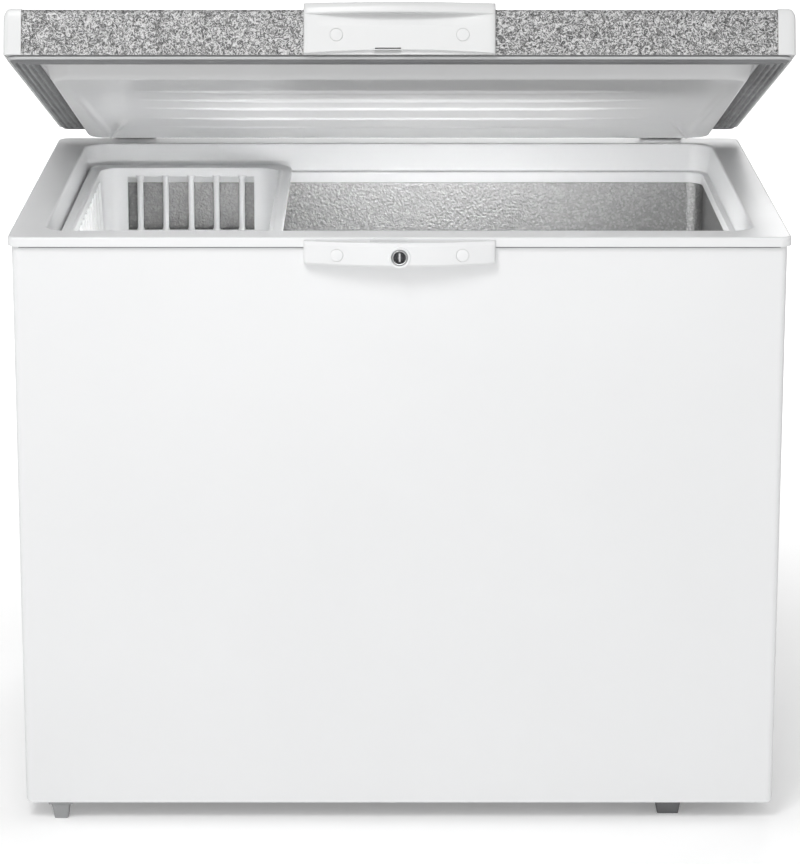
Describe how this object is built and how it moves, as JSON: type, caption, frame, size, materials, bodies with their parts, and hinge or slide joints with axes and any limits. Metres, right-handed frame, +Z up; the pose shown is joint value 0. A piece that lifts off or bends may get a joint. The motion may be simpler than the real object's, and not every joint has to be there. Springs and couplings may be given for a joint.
{
  "type": "chest freezer",
  "caption": "Chest freezer: foam-insulated white cabinet on feet, sprung lid with a patterned edge, bowed handle and lock, hanging basket and a compressor bay.",
  "frame": {"origin": "on the floor, at the middle of the footprint with the lid part open", "axes": "+Z up, +X to the right of a person facing the front, +Y towards the hinges at the back"},
  "size_m": [0.992, 0.7582, 1.0801],
  "materials": {
    "white_paint": "satin",
    "speckled_sheet": "satin",
    "galvanised_steel": "satin",
    "rigid_foam": "matte",
    "stucco_aluminium": "satin",
    "white_plastic": "satin",
    "basket_plastic": "satin",
    "lid_liner_plastic": "satin",
    "gasket_vinyl": "matte",
    "black_plastic": "satin",
    "green_lens": "gloss",
    "black_enamel": "satin",
    "copper": "satin",
    "black_rubber": "matte",
    "grey_plastic": "satin",
    "dark_grey_plastic": "satin",
    "lock_steel": "satin",
    "hinge_steel": "satin",
    "spring_steel": "satin"
  },
  "bodies": {
    "cabinet": {"outer_shell": "white_paint", "back_panel": "galvanised_steel", "base_panel": "galvanised_steel", "bay_wrap": "galvanised_steel", "rear_cover": "galvanised_steel", "compressor_plate": "galvanised_steel", "insulation_foam": "rigid_foam", "inner_liner": "stucco_aluminium", "top_trim": "white_plastic", "side_grille": "white_plastic", "drain_tube": "white_plastic", "lock_housing": "white_plastic", "housing_plug_left": "white_plastic", "housing_plug_right": "white_plastic", "thermostat_housing": "black_plastic", "power_inlet_gland": "black_plastic", "relay_cover": "black_plastic", "indicator_lamp": "green_lens", "compressor": "black_enamel", "filter_drier": "copper", "suction_tube": "copper", "discharge_tube": "copper", "drier_tube": "copper", "evaporator_coil": "copper", "condenser_coil": "copper", "compressor_grommet_1": "black_rubber", "compressor_grommet_2": "black_rubber", "compressor_grommet_3": "black_rubber", "compressor_grommet_4": "black_rubber", "foot_front_left": "grey_plastic", "foot_rear_left": "grey_plastic", "drain_cap": "grey_plastic", "foot_front_right": "dark_grey_plastic", "foot_rear_right": "dark_grey_plastic", "hinge_base_left": "hinge_steel", "hinge_base_right": "hinge_steel", "hinge_pin_left": "spring_steel", "hinge_pin_right": "spring_steel", "hinge_spring_left": "spring_steel", "hinge_spring_right": "spring_steel", "hinge_screw_left_outer": "spring_steel", "hinge_screw_left_inner": "spring_steel", "hinge_screw_right_outer": "spring_steel", "hinge_screw_right_inner": "spring_steel"},
    "lid": {"lid_top_panel": "speckled_sheet", "lid_foam": "rigid_foam", "lid_liner": "lid_liner_plastic", "lid_gasket": "gasket_vinyl", "lid_handle": "white_plastic", "lid_side_trim_left": "white_plastic", "lid_side_trim_right": "white_plastic", "handle_plug_left": "white_plastic", "handle_plug_right": "white_plastic", "hinge_leaf_left": "hinge_steel", "hinge_leaf_right": "hinge_steel"},
    "basket": {"basket": "basket_plastic"},
    "lock": {"lock_cylinder": "lock_steel", "lock_hook": "galvanised_steel"},
    "thermostat_knob": {"thermostat_knob": "white_plastic"},
    "drain_plug": {"drain_plug": "white_plastic"}
  },
  "joints": [
    {"name": "lid_hinge", "type": "hinge", "parent": "cabinet", "child": "lid", "pos_m": [0, 0.365, 0.821], "axis": [-1, 0, 0], "range_deg": [-17.5, 57.5]},
    {"name": "basket_slide", "type": "slide", "parent": "cabinet", "child": "basket", "axis": [1, 0, 0], "range_m": [0, 0.598]},
    {"name": "lock_turn", "type": "hinge", "parent": "cabinet", "child": "lock", "pos_m": [0, -0.3655, 0.7635], "axis": [0, 1, 0], "range_deg": [0, 90]},
    {"name": "thermostat_turn", "type": "hinge", "parent": "cabinet", "child": "thermostat_knob", "pos_m": [0.485, 0.217, 0.16], "axis": [1, 0, 0], "range_deg": [0, 270]},
    {"name": "drain_plug_pull", "type": "slide", "parent": "cabinet", "child": "drain_plug", "axis": [0, 0, 1], "range_m": [0, 0.035]}
  ]
}
